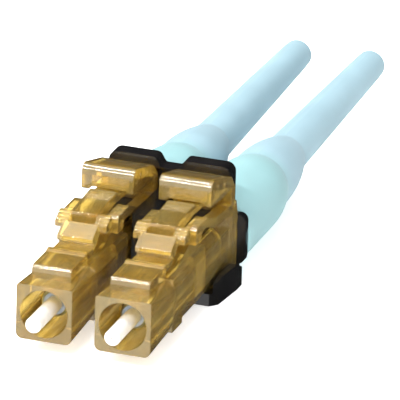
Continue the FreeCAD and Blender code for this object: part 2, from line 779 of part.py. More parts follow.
def export(items):
    """Check the whole document, then write one file per sub-part."""
    doc.recompute()
    for item in doc.Objects:
        if "Invalid" in item.State or "Error" in item.State:
            raise RuntimeError(f"{item.Label} failed: {item.State}")
    os.makedirs("parts", exist_ok=True)
    for item in items:
        if item.Shape.isNull() or not item.Shape.isValid() or len(item.Shape.Solids) != 1:
            raise RuntimeError(f"{item.Label} is not one sound solid")
        item.Shape.exportStep(f"parts/{item.Label}.step")


PLUG_PIECES = (plug_housing, latch_arm, rear_housing, trigger, ferrule, ferrule_barrel, spring,
               back_post, crimp_sleeve, boot)
export([make(name, side) for name, side in SIDES.items() for make in PLUG_PIECES] + [duplex_clip()])
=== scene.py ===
"""Looks of the duplex LC fibre connector: amber plugs, black clip, aqua boots, ceramic ferrules."""
import math
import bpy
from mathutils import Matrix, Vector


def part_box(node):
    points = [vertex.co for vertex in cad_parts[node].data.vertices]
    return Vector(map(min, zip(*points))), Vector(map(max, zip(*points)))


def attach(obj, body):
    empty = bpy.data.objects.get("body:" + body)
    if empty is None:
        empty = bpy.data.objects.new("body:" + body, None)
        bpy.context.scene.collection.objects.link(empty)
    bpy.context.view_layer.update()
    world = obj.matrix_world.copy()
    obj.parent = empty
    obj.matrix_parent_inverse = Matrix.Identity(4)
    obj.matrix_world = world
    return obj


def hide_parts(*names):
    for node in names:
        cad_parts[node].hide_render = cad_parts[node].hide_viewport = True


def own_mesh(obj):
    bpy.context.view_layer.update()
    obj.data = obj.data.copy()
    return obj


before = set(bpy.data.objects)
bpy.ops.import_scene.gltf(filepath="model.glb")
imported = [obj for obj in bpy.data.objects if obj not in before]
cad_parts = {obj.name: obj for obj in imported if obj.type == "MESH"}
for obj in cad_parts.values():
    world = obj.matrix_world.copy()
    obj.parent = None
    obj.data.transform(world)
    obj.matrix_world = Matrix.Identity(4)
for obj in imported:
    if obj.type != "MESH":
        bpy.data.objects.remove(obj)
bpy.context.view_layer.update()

from types import SimpleNamespace

import bmesh
import bpy
from mathutils import Euler, Matrix, Vector

MM = 0.001
SIDES = ("left", "right")


# --- sizes of the mouldings ---
# Millimetres in one plug's own frame: X across, Y back from the nose's front face, Z up from the
# ferrule axis. "_at" is a distance back from the front face, "_up" a height above the nose's top,
# "_half" half a width and "_round" the radius of a corner.
size = SimpleNamespace(
    pitch=6.25, rest_depth=3.3, seam=0.03,
    # front shell
    nose_half=2.21, nose_length=5.2, nose_round=0.2, nose_low_round=0.5, nose_rear_round=0.95,
    rim_step=0.06, shell_end_at=12.6, shoulder_up=0.89, shoulder_at=10.0, shoulder_flat=0.9,
    shoulder_round=0.8, shoulder_lean=0.22, lean_front_in=1.2, lean_front_drop=0.7,
    lean_rear_drop=0.85, channel_half=1.62, block_half=1.55, block_front_at=1.47,
    block_rear_at=5.1, block_up=1.0, block_ridge=0.12, block_ridge_length=0.35, bore_radius=1.9,
    bore_depth=5.6, seat_radius=1.15, seat_wall=0.8, cavity_radius=1.45, spigot_half=1.75,
    spigot_length=2.0, keel_start_at=7.4, keel_side=0.95, keel_under=0.35,
    # latch
    latch_hinge_at=5.4, latch_hinge_up=0.57, latch_hinge_radius=0.36, neck_thickness=0.56,
    latch_head_half=1.42, latch_arm_half=1.06, ear_half=2.06, ear_front_at=7.75, ear_rear_at=9.0,
    ear_up=2.74, ear_height=1.0, tooth_count=3, tooth_at=8.7, tooth_pitch=0.3, tooth_drop=0.17,
    tooth_depth=0.08, lip_at=6.5, lip_up=1.17, lip_thickness=0.42, crest_at=7.78, crest_up=2.32,
    groove_at=7.95, groove_up=1.99, riser_at=8.48, riser_up=2.84, arm_end_at=12.85, arm_up=3.09,
    arm_thickness=0.85, arm_round=0.25, tail_at=13.3, tail_end_at=15.2, tail_up=2.6,
    tail_thickness=0.45,
    # rear shell
    shell_inset=0.09, rear_end_at=19.6, flange_at=18.4, flange_half=2.28, flange_up=1.09,
    deck_chamfer_side=0.57, deck_chamfer_in=0.62, rail_inner_half=1.3, portal_at=10.0,
    portal_length=1.25, portal_up=2.27, rail_peak_at=12.5, rail_bend_at=14.3, rail_bend_up=1.52,
    rail_rear_up=1.16, rail_thickness=0.78, rail_round=0.4, collar_seat_radius=1.78,
    collar_seat_at=16.74,
    # trigger
    trigger_half=2.1, trigger_wall=0.6, trigger_plate=0.75, trigger_hinge_at=18.95,
    trigger_hinge_radius=0.4, bar_front_at=13.65, bar_crest_at=14.4, bar_crest_up=4.56,
    bar_crest_round=0.684, bar_low_up=2.62, bar_low_round=0.2, bar_depth=1.2, bar_notch=0.28,
    skirt_up=2.42, skirt_bend_at=15.9, plate_rear_at=18.35, plate_rear_up=3.47, plate_round=0.6,
    heel_at=19.4, heel_up=2.34, heel_round=0.5, stud_at=15.3, stud_drop=0.55, stud_pitch=1.6,
    stud_radius=0.2, stud_proud=0.08,
    # duplex clip
    clip_plate=0.72, clip_side_half=2.92, clip_side_top=2.1, clip_side_low=1.95,
    clip_side_round=0.6, clip_hole_radius=1.9, crown_reach=0.62, crown_outer=1.8,
    crown_inner=1.95, crown_up=3.86, crown_thickness=0.9, crown_outer_round=0.7,
    crown_inner_round=0.5, saddle_up=3.08, saddle_half=0.7, saddle_round=0.3, web_gap=0.08,
    web_at=12.8, web_up=1.54, shelf_at=13.8, shelf_front_half=2.1, shelf_waist_half=2.65,
    shelf_rear_half=3.0, shelf_corner=0.6, skirt_front_drop=1.6, skirt_drop=1.15,
    skirt_rear_drop=2.0, skirt_end_at=19.2, skirt_round=0.6, foot_round=0.35, tongue_half=1.2,
    tongue_at=13.6, tongue_thickness=0.45,
    # spring
    spring_turns=6.0, spring_wire_radius=0.14, ferrule_stroke=0.9,
)
size.shell_half = size.nose_half - size.rim_step
size.rear_half = size.nose_half - size.shell_inset
size.seat_at = size.bore_depth + size.seat_wall
size.spigot_at = size.shell_end_at - size.spigot_length
size.plate_at = size.rear_end_at + size.seam
size.plate_end = size.plate_at + size.clip_plate
size.shelf_top = size.flange_half + size.seam
size.web_half = size.pitch / 2 - size.flange_half - size.web_gap
NOSE_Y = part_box("plug_housing_left")[0][1] / MM


def above(rise):
    """Height above the ferrule axis of a place that is given above the nose's top."""
    return size.nose_half + rise


# --- how a moulding is cut ---
PLACES = {
    "YZ": lambda u, v, w: (w, u, v),
    "XZ": lambda u, v, w: (u, w, v),
    "XY": lambda u, v, w: (u, v, w),
}
ARC_STEPS = 6      # faces round a softened corner
BORE_STEPS = 48    # and round a bore, a root and a stud
ROOT_STEPS = 32
STUD_STEPS = 20
WELD = 0.002       # points of a moulding that lie nearer than this are one
FLAT_ANGLE = math.radians(0.5)     # faces within this angle are merged
SMOOTH_ANGLE = math.radians(17)    # an edge below this angle is shaded smooth
MOULD_ANGLE = math.radians(35)     # an edge above this angle gets the mould's radius
MOULD_SEGMENTS = 3


def skin(rings):
    """Solid between closed rings of points, one after another."""
    shape = bmesh.new()
    rows = [[shape.verts.new(point) for point in ring] for ring in rings]
    shape.faces.new(rows[0])
    shape.faces.new(rows[-1])
    count = len(rows[0])
    for here, there in zip(rows, rows[1:]):
        for i in range(count):
            j = (i + 1) % count
            shape.faces.new((here[i], here[j], there[j], there[i]))
    bmesh.ops.recalc_face_normals(shape, faces=shape.faces)
    return shape


def prism(plane, points, low, high):
    return skin([[PLACES[plane](u, v, w) for u, v in points] for w in (low, high)])


def across(points, half):
    """A side view, run equally to left and right."""
    return prism("YZ", points, -half, half)


def along(points, low, high):
    return prism("XZ", points, low, high)


def loft(first, first_at, last, last_at):
    return skin([[(u, first_at, v) for u, v in first], [(u, last_at, v) for u, v in last]])


def rectangle(low_u, high_u, low_v, high_v):
    return [(low_u, low_v), (high_u, low_v), (high_u, high_v), (low_u, high_v)]


def circle(radius, centre=(0.0, 0.0), steps=BORE_STEPS):
    turns = [2 * math.pi * (i + 0.5) / steps for i in range(steps)]
    return [(centre[0] + radius * math.cos(a), centre[1] + radius * math.sin(a)) for a in turns]


def softened(points, radii):
    """Outline with rounded corners: radii gives the radius by the corner's place in the list."""
    rounded = []
    for i, point in enumerate(points):
        if i not in radii:
            rounded.append(point)
            continue
        corner = Vector(point)
        before = (Vector(points[i - 1]) - corner).normalized()
        after = (Vector(points[(i + 1) % len(points)]) - corner).normalized()
        half_angle = before.angle(after) / 2
        reach = radii[i] / math.tan(half_angle)
        centre = corner + (before + after).normalized() * radii[i] / math.sin(half_angle)
        first, last = corner + before * reach - centre, corner + after * reach - centre
        for step in range(ARC_STEPS + 1):
            spoke = first.slerp(last, step / ARC_STEPS).normalized() * radii[i]
            rounded.append(tuple(centre + spoke))
    return rounded


def both_sides(points):
    """Outline from its right half, which runs from one end to the other."""
    return points + [(-u, v) for u, v in reversed(points)]


def settle(item):
    """Put the result of an object's modifiers into its mesh."""
    evaluated = item.evaluated_get(bpy.context.evaluated_depsgraph_get())
    mesh = bpy.data.meshes.new_from_object(evaluated)
    item.modifiers.clear()
    item.data = mesh


def cut_solid(name, steps, edge_round):
    """One moulding from its steps, each ("add" or "cut", solid), with rounded sharp edges."""
    base = None
    for number, (deed, shape) in enumerate(steps):
        mesh = bpy.data.meshes.new(f"{name}_{number}")
        shape.to_mesh(mesh)
        shape.free()
        tool = bpy.data.objects.new(mesh.name, mesh)
        bpy.context.scene.collection.objects.link(tool)
        if base is None:
            base = tool
            continue
        boolean = base.modifiers.new(deed, "BOOLEAN")
        boolean.operation = "UNION" if deed == "add" else "DIFFERENCE"
        boolean.solver, boolean.object = "EXACT", tool
        settle(base)
        bpy.data.objects.remove(tool)
    clean = bmesh.new()
    clean.from_mesh(base.data)
    bmesh.ops.remove_doubles(clean, verts=clean.verts, dist=WELD)
    bmesh.ops.dissolve_limit(clean, angle_limit=FLAT_ANGLE, verts=clean.verts, edges=clean.edges)
    clean.to_mesh(base.data)
    clean.free()
    base.data.polygons.foreach_set("use_smooth", [True] * len(base.data.polygons))
    base.data.set_sharp_from_angle(angle=SMOOTH_ANGLE)
    bevel = base.modifiers.new("edge_round", "BEVEL")
    bevel.width, bevel.segments = edge_round, MOULD_SEGMENTS
    bevel.limit_method, bevel.angle_limit = "ANGLE", MOULD_ANGLE
    bevel.harden_normals = True
    settle(base)
    mesh = base.data
    bpy.data.objects.remove(base)
    return mesh


def fit(mesh, name, node, body, material, side_at=0.0):
    """Put a moulding in its place in the frame, in metres, for a CAD node on its body."""
    mesh = mesh.copy()
    mesh.transform(Matrix.Scale(MM, 4) @ Matrix.Translation((side_at, NOSE_Y, size.rest_depth)))
    mesh.materials.clear()
    mesh.materials.append(material)
    piece = bpy.data.objects.new(name, mesh)
    bpy.context.scene.collection.objects.link(piece)
    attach(piece, body)
    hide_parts(node)
    return piece


# --- the mouldings ---
def nose_section(top_radius, low_radius):
    half = size.nose_half
    square = [(half, half), (-half, half), (-half, -half), (half, -half)]
    return softened(square, {0: top_radius, 1: top_radius, 2: low_radius, 3: low_radius})


def keeled(half, top):
    """Section with its two lower corners cut away."""
    return [(-half, top), (-half, size.keel_side - half), (size.keel_under - half, -half),
            (half - size.keel_under, -half), (half, size.keel_side - half), (half, top)]


def front_shell():
    """Square nose with the ferrule's bore, the block for the latch root, and shoulders by the latch."""
    shell, top = size.shell_half, above(size.shoulder_up)
    steps = [
        ("add", loft(nose_section(size.nose_round, size.nose_low_round), 0.0,
                     nose_section(size.nose_rear_round, size.nose_rear_round), size.nose_length)),
        ("add", along(rectangle(-shell, shell, -shell, shell), size.nose_length - size.seam,
                      size.keel_start_at)),
        ("add", along(keeled(shell, shell), size.keel_start_at, size.shell_end_at)),
        ("add", across(softened([
            (size.nose_length, shell - size.keel_side), (size.shell_end_at, shell - size.keel_side),
            (size.shell_end_at, shell), (size.shoulder_at + size.shoulder_flat, top),
            (size.shoulder_at, top), (size.nose_length, shell)], {3: size.shoulder_round}), shell)),
    ]
    for hand in (-1, 1):
        corner = (hand * (shell + size.seam), top + size.seam)
        front = [corner, (hand * (shell - size.lean_front_in), corner[1]),
                 (corner[0], shell - size.lean_front_drop)]
        rear = [corner, (hand * (shell - size.shoulder_lean), corner[1]),
                (corner[0], shell - size.lean_rear_drop)]
        steps.append(("cut", loft(front, size.nose_length, rear, size.shell_end_at + size.seam)))
    block_top = above(size.block_up)
    ridge_front = size.block_rear_at - size.block_ridge_length
    socket = size.spigot_half + size.seam
    steps += [
        ("cut", along(rectangle(-size.channel_half, size.channel_half, shell, top + size.shoulder_up),
                      size.nose_length, size.shell_end_at + size.seam)),
        ("add", across(softened([
            (size.block_front_at, size.bore_radius), (size.block_rear_at, size.bore_radius),
            (size.block_rear_at, block_top + size.block_ridge),
            (ridge_front, block_top + size.block_ridge),
            (ridge_front - size.block_ridge_length, block_top), (size.block_front_at, block_top)],
            {5: size.nose_round * 2}), size.block_half)),
        ("cut", across(circle(size.latch_hinge_radius + size.seam,
                              (size.latch_hinge_at, above(size.latch_hinge_up)), ROOT_STEPS),
                       size.block_half + size.seam)),
        ("cut", along(circle(size.bore_radius), -size.seam, size.bore_depth)),
        ("cut", along(circle(size.seat_radius), 0.0, size.seat_at + size.seam)),
        ("cut", along(circle(size.cavity_radius), size.seat_at, size.shell_end_at + size.seam)),
        ("cut", along(rectangle(-socket, socket, -socket, socket), size.spigot_at - size.seam,
                      size.shell_end_at + size.seam)),
    ]
    return steps


def latch():
    """Neck on its root, lead-in ramp, toothed catch ears, groove, and the arm back to the trigger."""
    hinge_z, crest_z = above(size.latch_hinge_up), above(size.crest_up)
    ear_z, groove_z, lip_z = above(size.ear_up), above(size.groove_up), above(size.lip_up)
    riser_z, arm_z, tail_z = above(size.riser_up), above(size.arm_up), above(size.tail_up)
    under = riser_z - size.arm_thickness
    half_neck = size.neck_thickness / 2
    lip_rear = size.lip_at + size.lip_thickness
    teeth = []
    for count in range(size.tooth_count):
        step, height = size.tooth_at - count * size.tooth_pitch, ear_z - count * size.tooth_drop
        foot = height - size.tooth_drop / 3
        teeth += [(step, height), (step - size.tooth_pitch / 2, foot),
                  (step - size.tooth_pitch / 2, foot - size.tooth_depth)]
    return [
        ("add", across(circle(size.latch_hinge_radius, (size.latch_hinge_at, hinge_z), ROOT_STEPS),
                       size.latch_head_half)),
        ("add", across([
            (size.latch_hinge_at, hinge_z - half_neck), (size.lip_at, hinge_z - half_neck),
            (size.ear_rear_at, under), (size.ear_rear_at, groove_z + size.seam),
            (size.groove_at, groove_z + size.seam), (size.crest_at, crest_z),
            (size.lip_at, lip_z + size.lip_thickness), (size.lip_at, lip_z), (lip_rear, lip_z),
            (lip_rear, hinge_z + half_neck), (size.latch_hinge_at, hinge_z + half_neck)],
            size.latch_head_half)),
        ("add", across([
            (size.ear_front_at, ear_z - size.ear_height), (size.ear_rear_at, ear_z - size.ear_height),
            (size.ear_rear_at, ear_z), *teeth,
            (size.ear_front_at, ear_z - size.tooth_count * size.tooth_drop)],
            size.ear_half)),
        ("cut", across(rectangle(size.groove_at, size.ear_rear_at + size.seam, groove_z, riser_z),
                       size.latch_arm_half)),
        ("add", across(softened([
            (size.riser_at, under - size.tail_thickness / 2),
            (size.arm_end_at, arm_z - size.arm_thickness),
            (size.tail_at, tail_z - size.tail_thickness),
            (size.tail_end_at, tail_z - size.tail_thickness), (size.tail_end_at, tail_z),
            (size.tail_at, tail_z), (size.arm_end_at, arm_z), (size.riser_at, riser_z)],
            {6: size.arm_round}), size.latch_arm_half)),
    ]


def rear_shell():
    """Chamfered body with its spigot, the rear flange, and the two rails with their front portal."""
    rear, top = size.rear_half, above(size.portal_up)
    start, painted_collar_shade = size.shell_end_at + size.seam, size.rail_thickness
    rail_end, portal_rear = size.flange_at + size.nose_round, size.portal_at + size.portal_length
    foot = above(size.shoulder_up) + size.seam
    bend_z, end_z = above(size.rail_bend_up), above(size.rail_rear_up)
    flange_z, cheek_half = above(size.flange_up), size.trigger_half + size.rim_step
    slot, spigot = size.tongue_half + size.seam, size.spigot_half
    return [
        ("add", along(rectangle(-spigot, spigot, -spigot, spigot), size.spigot_at, start + size.seam)),
        ("add", along(both_sides([
            (size.keel_under - rear, -rear), (-rear, size.keel_side - rear),
            (-rear, rear - size.deck_chamfer_side), (size.deck_chamfer_in - rear, rear)]),
            start, size.flange_at + size.seam)),
        ("add", along(both_sides([
            (-size.flange_half, -size.flange_half), (-size.flange_half, size.nose_half),
            (-cheek_half, flange_z)]), size.flange_at, size.rear_end_at)),
        ("add", across(softened([
            (size.portal_at, foot), (portal_rear, foot), (portal_rear, top - painted_collar_shade),
            (size.rail_peak_at, top - painted_collar_shade), (size.rail_bend_at, bend_z - painted_collar_shade),
            (rail_end, end_z - painted_collar_shade), (rail_end, end_z), (size.rail_bend_at, bend_z),
            (size.rail_peak_at, top), (size.portal_at, top)],
            {corner: size.rail_round for corner in (2, 4, 7, 8, 9)}), size.nose_half)),
        ("cut", along(rectangle(-size.rail_inner_half, size.rail_inner_half, rear, top + painted_collar_shade),
                      size.portal_at - size.seam, size.flange_at)),
        ("cut", across(circle(size.trigger_hinge_radius + size.seam,
                              (size.trigger_hinge_at, flange_z), ROOT_STEPS), size.flange_half)),
        ("cut", along(rectangle(-slot, slot, rear, rear + size.tongue_thickness + 2 * size.seam),
                      size.flange_at - size.seam, size.rear_end_at + size.seam)),
        ("cut", along(circle(size.cavity_radius), size.spigot_at - size.seam, size.collar_seat_at)),
        ("cut", along(circle(size.collar_seat_radius), size.collar_seat_at - 2 * size.seam,
                      size.rear_end_at + size.seam)),
    ]


def lever():
    """Anti-snag lever: rounded bar, top plate and side skirts, on a root that turns in the flange."""
    root_front = size.trigger_hinge_at - size.trigger_hinge_radius
    root_rear = size.trigger_hinge_at + size.trigger_hinge_radius
    crest_z, low_z, skirt_z = above(size.bar_crest_up), above(size.bar_low_up), above(size.skirt_up)
    heel_z, rear_z, hinge_z = above(size.heel_up), above(size.plate_rear_up), above(size.flange_up)
    wall_foot = hinge_z + size.trigger_hinge_radius / 2
    inside, bar_rear = size.trigger_half - size.trigger_wall, size.bar_front_at + size.bar_depth
    steps = [
        ("add", across(softened([
            (size.bar_front_at, crest_z), (size.bar_front_at, low_z), (size.skirt_bend_at, skirt_z),
            (root_front, skirt_z), (root_front, wall_foot), (root_front, hinge_z),
            (root_rear, hinge_z), (root_rear, wall_foot), (size.heel_at, heel_z),
            (size.plate_rear_at, rear_z), (size.bar_crest_at, crest_z)],
            {0: size.bar_crest_round, 1: size.bar_low_round, 8: size.heel_round,
             9: size.plate_round}), size.trigger_half)),
        ("add", across(circle(size.trigger_hinge_radius, (size.trigger_hinge_at, hinge_z),
                              ROOT_STEPS), size.trigger_half)),
        ("cut", across([
            (bar_rear, skirt_z - size.bar_notch),
            (root_front - size.nose_round, skirt_z - size.bar_notch),
            (root_front - size.nose_round, heel_z),
            (size.plate_rear_at - size.trigger_wall, rear_z - size.trigger_plate),
            (bar_rear, crest_z - size.trigger_plate - size.bar_notch)], inside)),
        ("cut", across(rectangle(size.bar_front_at - size.seam, bar_rear + size.seam,
                                 skirt_z - size.bar_notch, low_z + size.bar_notch), inside)),
    ]
    slope = (crest_z - rear_z) / (size.plate_rear_at - size.bar_crest_at)
    for count in (0, 1):
        place = size.stud_at + count * size.stud_pitch
        height = crest_z - size.stud_drop - (place - size.bar_crest_at) * slope
        steps.append(("add", across(circle(size.stud_radius, (place, height), STUD_STEPS),
                                    size.trigger_half + size.stud_proud)))
    return steps


def clip():
    """Shelf and skirts under the shells, centre web, rear plate, tongues and the two crown tabs."""
    centre, low = size.pitch / 2, -size.rest_depth
    edge, edge_foot, inner = (centre + size.clip_side_half, centre + size.shelf_rear_half,
                              centre + size.shelf_top)
    half_corner = size.shelf_corner / 2
    shelf = softened(both_sides([
        (centre + size.shelf_front_half, size.shelf_at),
        (centre + size.shelf_waist_half, size.shelf_at + size.shelf_corner),
        (edge_foot, size.flange_at - size.shelf_corner), (edge_foot, size.skirt_end_at - half_corner),
        (edge_foot - half_corner, size.skirt_end_at), (inner, size.skirt_end_at),
        (inner, size.plate_end)]), {1: size.foot_round, 12: size.foot_round})
    crown_z, low_crown = above(size.crown_up), above(size.crown_up) - size.crown_thickness
    crown = softened(both_sides([
        (centre + size.crown_outer, low_crown), (centre + size.crown_outer, crown_z),
        (centre - size.crown_inner, crown_z), (size.saddle_half, above(size.saddle_up))]),
        {1: size.crown_outer_round, 2: size.crown_inner_round, 3: size.saddle_round,
         4: size.saddle_round, 5: size.crown_inner_round, 6: size.crown_outer_round})
    side_plate = softened(rectangle(-edge, edge, -size.clip_side_low, size.clip_side_top),
                          {corner: size.clip_side_round for corner in range(4)})
    seam, plate_at, plate_end = size.seam, size.plate_at, size.plate_end
    steps = [
        ("add", prism("XY", shelf, low, -size.skirt_drop)),
        ("cut", prism("XY", rectangle(-inner, inner, size.shelf_at - seam, plate_at),
                      -size.shelf_top, 0.0)),
        ("cut", across(softened([
            (size.shelf_at - seam, -size.skirt_front_drop),
            (size.shelf_at + 2 * size.shelf_corner, -size.skirt_drop - seam),
            (size.flange_at - size.shelf_corner, -size.skirt_drop - seam),
            (size.skirt_end_at + seam, -size.skirt_rear_drop), (plate_at, -size.skirt_rear_drop),
            (plate_at, 0.0), (size.shelf_at - seam, 0.0)],
            {1: size.skirt_round, 2: size.skirt_round}), edge_foot + seam)),
        ("add", across(rectangle(size.web_at, plate_end, low, above(size.web_up)), size.web_half)),
        ("add", along(side_plate, plate_at, plate_end)),
        ("add", along(rectangle(-inner, inner, low, 0.0), plate_at, plate_end)),
        ("add", along(rectangle(-centre - size.crown_outer, centre + size.crown_outer, 0.0,
                                low_crown + seam), plate_at, plate_end)),
        ("add", along(crown, plate_at - size.crown_reach, plate_end)),
    ]
    tongue_z = size.rear_half + seam
    for hand in (-1, 1):
        middle = hand * centre
        steps += [
            ("add", along(rectangle(middle - size.tongue_half, middle + size.tongue_half, tongue_z,
                                    tongue_z + size.tongue_thickness),
                          size.tongue_at, plate_at + seam)),
            ("cut", along(circle(size.clip_hole_radius, (middle, 0.0)),
                          plate_at - seam, plate_end + seam)),
        ]
    return steps


# --- finishes ---
SPREAD = (0.3, 0.7)    # most of a noise's values lie between these


def colour(code):
    """Linear colour from an sRGB hex code."""
    channels = [int(code[i:i + 2], 16) / 255 for i in (1, 3, 5)]
    linear = [c / 12.92 if c <= 0.04045 else ((c + 0.055) / 1.055) ** 2.4 for c in channels]
    return (*linear, 1.0)


def add_node(material, kind, settings=None, links=None):
    """One shader node: settings by input name or property, links as input name to (node, output)."""
    tree = material.node_tree
    node = tree.nodes.new(kind)
    for name, value in (settings or {}).items():
        if name in node.inputs:
            node.inputs[name].default_value = value
        else:
            setattr(node, name, value)
    for name, (source, output) in (links or {}).items():
        tree.links.new(source.outputs[output], node.inputs[name])
    return node


def new_material(name):
    material = bpy.data.materials.new(name)
    material.use_nodes = True
    material.node_tree.nodes.clear()
    return material


def two_tones(material, source, output, low, high, first, second):
    """Ramp from one colour to another as a value goes from low to high."""
    ramp = add_node(material, "ShaderNodeValToRGB", links={"Fac": (source, output)})
    for stop, position, code in zip(ramp.color_ramp.elements, (low, high), (first, second)):
        stop.position, stop.color = position, colour(code)
    return ramp


def range_of(material, source, output, low, high, first=0.0, last=1.0):
    """A number from first to last as another goes from 0 to 1 between low and high."""
    return add_node(material, "ShaderNodeMapRange", {"From Min": low, "From Max": high,
                                                     "To Min": first, "To Max": last},
                    {"Value": (source, output)})


def noise(material, grain, detail=2.0):
    """Noise whose features are about one grain across, in metres."""
    place = add_node(material, "ShaderNodeTexCoord")
    return add_node(material, "ShaderNodeTexNoise", {"Scale": 1 / grain, "Detail": detail},
                    {"Vector": (place, "Object")})


def finish_material(material, shader):
    add_node(material, "ShaderNodeOutputMaterial", links={"Surface": (shader, "BSDF")})
    return material


def amber_polyetherimide():
    """Unfilled polyetherimide, injection moulded: a hazy clear amber under a glossy skin."""
    material = new_material("amber_polyetherimide_moulded")
    flow = noise(material, 2.5 * MM, 3.0)
    tint = two_tones(material, flow, "Fac", 0.35, 0.65, "#DFBD5A", "#ECD27C")
    scuff = noise(material, 0.35 * MM, 4.0)
    gloss = range_of(material, scuff, "Fac", *SPREAD, 0.1, 0.18)
    ripple = add_node(material, "ShaderNodeBump", {"Strength": 0.015, "Distance": 0.01 * MM},
                      {"Height": (flow, "Fac")})
    shader = add_node(material, "ShaderNodeBsdfPrincipled",
                      {"IOR": 1.55, "Transmission Weight": 0.83, "Coat Weight": 1.0,
                       "Coat Roughness": 0.02, "Coat IOR": 1.65},
                      {"Base Color": (tint, "Color"), "Roughness": (gloss, "Result"),
                       "Normal": (ripple, "Normal")})
    depth = add_node(material, "ShaderNodeVolumeAbsorption",
                     {"Color": colour("#EFDC66"), "Density": 290.0})
    add_node(material, "ShaderNodeOutputMaterial",
             links={"Surface": (shader, "BSDF"), "Volume": (depth, "Volume")})
    return material


def black_polycarbonate():
    """Black polycarbonate from a spark-eroded mould: a fine even grain that spreads the highlights."""
    material = new_material("black_polycarbonate_spark_eroded")
    cloud = noise(material, 1.8 * MM, 3.0)
    tint = two_tones(material, cloud, "Fac", *SPREAD, "#0E0E0E", "#181716")
    grain = noise(material, 0.12 * MM, 2.0)
    gloss = range_of(material, cloud, "Fac", *SPREAD, 0.16, 0.26)
    texture = add_node(material, "ShaderNodeBump", {"Strength": 0.12, "Distance": 0.01 * MM},
                       {"Height": (grain, "Fac")})
    shader = add_node(material, "ShaderNodeBsdfPrincipled", {"IOR": 1.585},
                      {"Base Color": (tint, "Color"), "Roughness": (gloss, "Result"),
                       "Normal": (texture, "Normal")})
    return finish_material(material, shader)


def aqua_elastomer():
    """Aqua thermoplastic elastomer: a soft satin skin that lets a little light in."""
    material = new_material("aqua_elastomer_moulded")
    place = add_node(material, "ShaderNodeTexCoord")
    axes = add_node(material, "ShaderNodeSeparateXYZ", links={"Vector": (place, "Object")})
    # Painted shade: the boot is painted a little darker and greener up to 1.2 mm along Y, at the
    # collar, and lighter from 3.4 mm on, standing in for the shade on the collar's steeper slope.
    along = range_of(material, axes, "Y", 1.2 * MM, 3.4 * MM)
    painted_collar_shade = two_tones(material, along, "Result", 0.0, 1.0, "#90B9BC", "#98B6C1")
    cloud = noise(material, 3.0 * MM, 3.0)
    shade = range_of(material, cloud, "Fac", *SPREAD, 0.95, 1.03)
    tint = add_node(material, "ShaderNodeVectorMath", {"operation": "SCALE"},
                    {"Vector": (painted_collar_shade, "Color"), "Scale": (shade, "Result")})
    grain = noise(material, 0.15 * MM, 2.0)
    skin = add_node(material, "ShaderNodeBump", {"Strength": 0.2, "Distance": 0.01 * MM},
                    {"Height": (grain, "Fac")})
    gloss = range_of(material, cloud, "Fac", *SPREAD, 0.46, 0.58)
    shader = add_node(material, "ShaderNodeBsdfPrincipled",
                      {"IOR": 1.5, "Subsurface Weight": 0.25, "Subsurface Radius": (0.8, 1.0, 1.0),
                       "Subsurface Scale": 0.6 * MM, "Sheen Weight": 0.1},
                      {"Base Color": (tint, "Vector"), "Roughness": (gloss, "Result"),
                       "Normal": (skin, "Normal")})
    return finish_material(material, shader)


def zirconia():
    """Zirconia ceramic, centreless ground: dense white with a tight gloss."""
    material = new_material("zirconia_ground")
    cloud = noise(material, 0.8 * MM, 2.0)
    tint = two_tones(material, cloud, "Fac", *SPREAD, "#DEDCD7", "#E9E7E3")
    gloss = range_of(material, cloud, "Fac", *SPREAD, 0.12, 0.2)
    shader = add_node(material, "ShaderNodeBsdfPrincipled",
                      {"IOR": 2.15, "Subsurface Weight": 0.2, "Subsurface Radius": (1.0, 0.95, 0.85),
                       "Subsurface Scale": 0.3 * MM},
                      {"Base Color": (tint, "Color"), "Roughness": (gloss, "Result")})
    return finish_material(material, shader)


def turned_metal(name, low, high, rough_low, rough_high):
    """Turned metal: fine rings round the axis, seen as a stretched highlight."""
    material = new_material(name)
    place = add_node(material, "ShaderNodeTexCoord")
    rings = add_node(material, "ShaderNodeMapping", {"Scale": (0.05, 1.0, 0.05)},
                     {"Vector": (place, "Object")})
    marks = add_node(material, "ShaderNodeTexNoise", {"Scale": 1 / (0.08 * MM), "Detail": 2.0},
                     {"Vector": (rings, "Vector")})
    tint = two_tones(material, marks, "Fac", *SPREAD, low, high)
    gloss = range_of(material, marks, "Fac", *SPREAD, rough_low, rough_high)
    shader = add_node(material, "ShaderNodeBsdfPrincipled", {"Metallic": 1.0},
                      {"Base Color": (tint, "Color"), "Roughness": (gloss, "Result")})
    return finish_material(material, shader)


AMBER = amber_polyetherimide()
BLACK = black_polycarbonate()
FINISHES = {
    "ferrule": zirconia(),
    "ferrule_barrel": turned_metal("nickel_plated_barrel_turned", "#7F8894", "#A9B2BC", 0.25, 0.4),
    "back_post": turned_metal("nickel_plated_post_turned", "#A09C92", "#C4C0B6", 0.25, 0.4),
    "crimp_sleeve": turned_metal("aluminium_sleeve_drawn", "#B0B2B5", "#CDCFD1", 0.3, 0.45),
    "boot": aqua_elastomer(),
}


def dress(node, material):
    """Give a CAD node its finish."""
    piece = bpy.data.objects[node]
    piece.data.materials.clear()
    piece.data.materials.append(material)


for side in SIDES:
    for part, finish in FINISHES.items():
        dress(f"{part}_{side}", finish)


# --- the springs ---
SPRING_STEEL = turned_metal("spring_steel_drawn", "#8C8C8C", "#B4B4B2", 0.25, 0.35)


